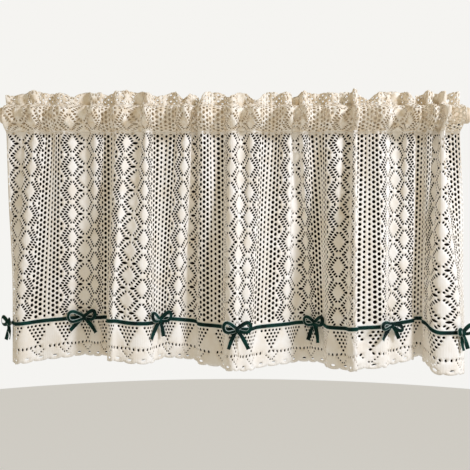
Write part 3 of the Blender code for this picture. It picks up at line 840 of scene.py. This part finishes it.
def buildBow(number, row):
    u = row["u"]
    nearby = np.clip(u + np.arange(-60, 61), cloth["left"], cloth["right"])
    middle = 60

    def frontOf(v, lift):
        return onCloth(nearby, np.full(len(nearby), float(v)), cloth["thick"] / 2 + lift)[0]

    seat = frontOf(ribbon["row"], 0.0)
    along = seat[middle + bowSizes["spread"]] - seat[middle - bowSizes["spread"]]
    along[2] = 0
    along /= np.linalg.norm(along)
    along += row["facing"] * np.array([1.0, 0.0, 0.0])  # a bow faces outward more than its cloth does
    along /= np.linalg.norm(along)
    outward = np.array([along[1], -along[0], 0.0])
    up = np.array([0.0, 0.0, 1.0])
    origin = seat[middle]
    knotBack = 0.0
    for point in frontOf(ribbon["row"], ribbon["lift"] + ribbon["thick"] / 2):
        if abs((point - origin) @ along) < bowSizes["knotWide"] / 2:
            knotBack = max(knotBack, (point - origin) @ outward)
    rows = [ribbon["row"] + below for below in (-12, 0, 16, 34)]
    reads = [((p - origin) @ along, (p - origin) @ outward + bowSizes["clear"])
             for v in rows for p in frontOf(v, 0.0)]
    stand = max([knotBack] + [ahead for beside, ahead in reads if abs(beside) < bowSizes["near"]])
    lean = {}
    for way, side in ((-1, "left"), (1, "right")):
        facing = [(way * b, a) for b, a in reads if bowSizes["near"] < way * b < row[side + "Reach"] + 3]
        lean[way] = max([0.0] + [(a - stand) / b for b, a in facing])

    def local(x, lift, z):
        ahead = stand + lift + lean[1 if x > 0 else -1] * abs(x)
        return origin + along * x + outward * ahead + up * z

    shapes = []
    tilt = math.radians(bowSizes["tilt"])
    for way, side in ((-1, "left"), (1, "right")):
        reach, rise = row[side + "Reach"], row[side + "Rise"]
        wide = 1.5 + row["loft"] * reach
        path = []
        for s in np.linspace(0, 1, 41):
            swell = math.sin(math.pi * s) ** 0.85
            opened = wide * math.sin(2 * math.pi * s) + 1.3 * (1 - 2 * s)
            sag = -0.06 * reach * math.sin(math.pi * s) ** 2
            lift = 4.6 + 0.2 * way + 2.0 * math.sin(math.pi * s)
            path.append(local(way * (reach * swell - 0.8), lift, rise * swell + opened + sag))
        # the strap lies nearly flat all round the loop, with its inner edge lifted
        tangent = np.gradient(np.array(path), axis=0)
        tangent /= np.linalg.norm(tangent, axis=1, keepdims=True)
        flatSide = way * np.cross(tangent, outward)
        sides = math.cos(tilt) * flatSide + math.sin(tilt) * outward
        shapes.append(strap(path, sides, bowSizes["strap"], bowSizes["thick"]))
        tail, down = row[side + "Tail"], row[side + "Down"]
        path = []
        for s in np.linspace(0, 1, 17):
            bend = 1.2 * math.sin(math.pi * s)
            lift = 1.6 + 0.6 * way + 0.8 * math.sin(2 * math.pi * s)
            path.append(local(tail * s + way * (bend - 0.6), lift, -down * s + 1))
        tangent = np.gradient(np.array(path), axis=0)
        twist = bowSizes["twist"] * way * np.sin(1.7 * math.pi * np.linspace(0, 1, 17))
        sides = np.cross(tangent, outward) + outward * twist[:, None] * np.linalg.norm(tangent, axis=1, keepdims=True)
        shapes.append(strap(path, sides, bowSizes["strap"], bowSizes["thick"]))
    # the knot: one turn of the strap over the middle, drawn in at its sides
    path, sides = [], []
    front, rear = stand + bowSizes["knotDeep"] - knotBack, 0.6
    for s in np.linspace(0, 1, 25):
        angle = 2 * math.pi * s + math.pi
        depth = knotBack + (front + rear) / 2 + (front - rear) / 2 * math.cos(angle)
        path.append(origin + outward * depth + up * (bowSizes["knotTall"] / 2 * math.sin(angle)))
        sides.append(along)
    shapes.append(strap(path, sides, bowSizes["knotWide"], bowSizes["knotThick"]))
    piece = meshFrom(f"bow{number}", shapes, [wovenVelvet, selvedgeHighlight])
    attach(piece, "root")
    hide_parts(f"bow_{number}")
    return piece


bowPieces = [buildBow(i, dict(zip(bows[0], row))) for i, row in enumerate(bows[1:], start=1)]
note("ribbon and bows")


# Rod and caps

rod = {
    "tube": 13.2,  # radius
    "radius": 13.3,  # of the caps
    "bevel": 0.6,
    "half": 386.5,
    "cap": 9.0,
    "rounding": 3.0,
    "groove": 0.4,
    "sides": 96,
}


def turnedPiece(name, profile, node):
    shape = bmesh.new()
    rings = []
    for x, r in profile:
        angles = [2 * math.pi * k / rod["sides"] for k in range(rod["sides"])] if r else [0.0]
        rings.append([shape.verts.new(Vector((x, r * math.sin(a), r * math.cos(a))) * mm) for a in angles])
    for first, second in zip(rings, rings[1:]):
        for k in range(rod["sides"]):
            one, two = first[k % len(first)], first[(k + 1) % len(first)]
            three, four = second[(k + 1) % len(second)], second[k % len(second)]
            shape.faces.new(list(dict.fromkeys((four, three, two, one))))
    mesh = bpy.data.meshes.new(name)
    bmesh.ops.recalc_face_normals(shape, faces=shape.faces)
    shape.to_mesh(mesh)
    shape.free()
    mesh.shade_smooth()
    mesh.set_sharp_from_angle(angle=math.radians(35))
    mesh.materials.append(stovedEnamel)
    piece = bpy.data.objects.new(name, mesh)
    bpy.context.scene.collection.objects.link(piece)
    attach(piece, "root")
    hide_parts(node)
    return piece


tubeEnd = rod["half"] - rod["cap"]
bevel = rod["bevel"]
tubeProfile = [(-tubeEnd, 0), (-tubeEnd, rod["tube"] - bevel), (-tubeEnd + bevel, rod["tube"]),
               (tubeEnd - bevel, rod["tube"]), (tubeEnd, rod["tube"] - bevel), (tubeEnd, 0)]
turnedPiece("rodTube", tubeProfile, "rod")
capSteps = ((0.3, bevel), (0.9, 0), (2.6, 0), (3.0, rod["groove"]), (3.4, rod["groove"]), (3.8, 0))
capProfile = [(tubeEnd + capSteps[0][0], 0)] + [(tubeEnd + x, rod["radius"] - r) for x, r in capSteps]
for k in range(9):
    angle = math.pi / 2 * k / 8
    capProfile.append((rod["half"] - rod["rounding"] * (1 - math.sin(angle)),
                       rod["radius"] - rod["rounding"] * (1 - math.cos(angle))))
capProfile.append((rod["half"], 0))
turnedPiece("rodCapRight", capProfile, "rod_cap_right")
turnedPiece("rodCapLeft", [(-x, r) for x, r in capProfile[::-1]], "rod_cap_left")
note("rod")


# Stage and light

stage = {
    "floor": -2.64,
    "floorRadius": 10.0,
    "floorPaper": "#e4e8ee",
    "floorGlow": 0.3,
    "studio": "#f5f4f1",  # what the camera sees behind the curtain
    "room": "#15110d",  # and through its holes
    "fill": "#cec2ab",  # the soft light from all round
    "fillStrength": 0.79,
    # where the room begins and ends, as slopes of the line of sight
    "roomLeft": -0.341,
    "roomLean": 0.044,
    "roomRight": 0.3445,
    "roomTop": 0.194,
    "roomAboveHem": 5.5,  # mm
}


def roundFloor():
    shape = bmesh.new()
    bmesh.ops.create_circle(shape, cap_ends=True, segments=160, radius=stage["floorRadius"])
    mesh = bpy.data.meshes.new("floor")
    shape.to_mesh(mesh)
    shape.free()
    paper, tree, shader = newMaterial("mattPaper")
    shader.inputs["Base Color"].default_value = linear(stage["floorPaper"])
    shader.inputs["Emission Color"].default_value = linear(stage["floorPaper"])
    shader.inputs["Emission Strength"].default_value = stage["floorGlow"]
    shader.inputs["Roughness"].default_value = 0.95
    shader.inputs["Specular IOR Level"].default_value = 0.1
    mesh.materials.append(paper)
    floor = bpy.data.objects.new("floor", mesh)
    floor.location.z = stage["floor"]
    bpy.context.scene.collection.objects.link(floor)


def studioWorld():
    # A pale studio. Straight behind the curtain, from the header down to the hem, lies a dark room, so that the
    # holes of the lace read as they do in front of one.
    world = bpy.data.worlds.new("studio")
    world.use_nodes = True
    bpy.context.scene.world = world
    tree = world.node_tree
    u = np.linspace(cloth["left"] + 1, cloth["right"] - 1, 300)
    hem, _ = onCloth(u, np.full(len(u), cloth["drop"] - stage["roomAboveHem"]))
    away = viewpoint["distance"] + hem[:, 1] * mm
    hemAcross, hemUp = hem[:, 0] * mm / away, (hem[:, 2] * mm - viewpoint["height"]) / away
    place = addNode(tree, "ShaderNodeTexCoord")
    way = addNode(tree, "ShaderNodeSeparateXYZ", {}, {}, {"Vector": place.outputs["Generated"]})
    x, y, z = (way.outputs[k] for k in "XYZ")
    acrossView = addNode(tree, "ShaderNodeMath", {"operation": "DIVIDE"}, {}, {0: x, 1: y}).outputs[0]
    upView = addNode(tree, "ShaderNodeMath", {"operation": "DIVIDE"}, {}, {0: z, 1: y}).outputs[0]
    along = addNode(tree, "ShaderNodeMath", {"operation": "ADD"}, {1: 0.5}, {0: acrossView}).outputs[0]
    hemLine = addNode(tree, "ShaderNodeFloatCurve", {}, {}, {"Value": along})
    curve = hemLine.mapping.curves[0]
    for a in np.linspace(-0.33, 0.34, 60):
        curve.points.new(a + 0.5, 0.5 + hemUp[np.abs(hemAcross - a) < 0.012].max())
    curve.points[0].location, curve.points[-1].location = (0, 0.5 + hemUp[0]), (1, 0.5 + hemUp[-1])
    hemLine.mapping.update()
    raised = addNode(tree, "ShaderNodeMath", {"operation": "ADD"}, {1: 0.5}, {0: upView}).outputs[0]
    slanted = addNode(tree, "ShaderNodeMath", {"operation": "MULTIPLY_ADD"}, {1: stage["roomLean"]},
                      {0: upView, 2: acrossView}).outputs[0]
    tests = [
        addNode(tree, "ShaderNodeMath", {"operation": "GREATER_THAN"}, {1: 0.0}, {0: y}),
        addNode(tree, "ShaderNodeMath", {"operation": "GREATER_THAN"}, {1: stage["roomLeft"]}, {0: slanted}),
        addNode(tree, "ShaderNodeMath", {"operation": "LESS_THAN"}, {1: stage["roomRight"]}, {0: acrossView}),
        addNode(tree, "ShaderNodeMath", {"operation": "LESS_THAN"}, {1: stage["roomTop"]}, {0: upView}),
        addNode(tree, "ShaderNodeMath", {"operation": "GREATER_THAN"}, {}, {0: raised, 1: hemLine.outputs["Value"]}),
    ]
    inside = tests[0].outputs[0]
    for test in tests[1:]:
        inside = addNode(tree, "ShaderNodeMath", {"operation": "MULTIPLY"}, {},
                         {0: inside, 1: test.outputs[0]}).outputs[0]
    seen = addNode(tree, "ShaderNodeMixRGB", {},
                   {"Color1": linear(stage["studio"]), "Color2": linear(stage["room"])}, {"Fac": inside})
    fill = addNode(tree, "ShaderNodeMixRGB", {"blend_type": "MULTIPLY"},
                   {"Fac": 1.0, "Color1": linear(stage["fill"]), "Color2": (stage["fillStrength"],) * 3 + (1,)})
    path = addNode(tree, "ShaderNodeLightPath")
    both = addNode(tree, "ShaderNodeMixRGB", {}, {},
                   {"Fac": path.outputs["Is Camera Ray"], "Color1": fill.outputs[0], "Color2": seen.outputs[0]})
    tree.links.new(both.outputs[0], tree.nodes["Background"].inputs["Color"])


roundFloor()
studioWorld()
bpy.context.scene.view_settings.view_transform = "Standard"

lights = (
    ("name", "azimuth", "elevation", "distance", "size", "watts", "colour"),
    ("key", 56, 27, 2.4, 0.5, 48.0, "#e6eeff"),
    ("back", 165, 30, 2.6, 2.0, 8.0, "#fff3e0"),
)
for values in lights[1:]:
    light = dict(zip(lights[0], values))
    data = bpy.data.lights.new(light["name"], "AREA")
    data.shape = "DISK"
    data.size = light["size"]
    data.energy = light["watts"]
    data.color = linear(light["colour"])[:3]
    lamp = bpy.data.objects.new(light["name"], data)
    a, e = math.radians(light["azimuth"]), math.radians(light["elevation"])
    aim = Vector((0, 0, viewpoint["height"]))
    toLamp = Vector((math.sin(a) * math.cos(e), -math.cos(a) * math.cos(e), math.sin(e)))
    lamp.location = aim + light["distance"] * toLamp
    lamp.rotation_euler = (aim - lamp.location).to_track_quat("-Z", "Y").to_euler()
    bpy.context.scene.collection.objects.link(lamp)

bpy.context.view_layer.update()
note("done")
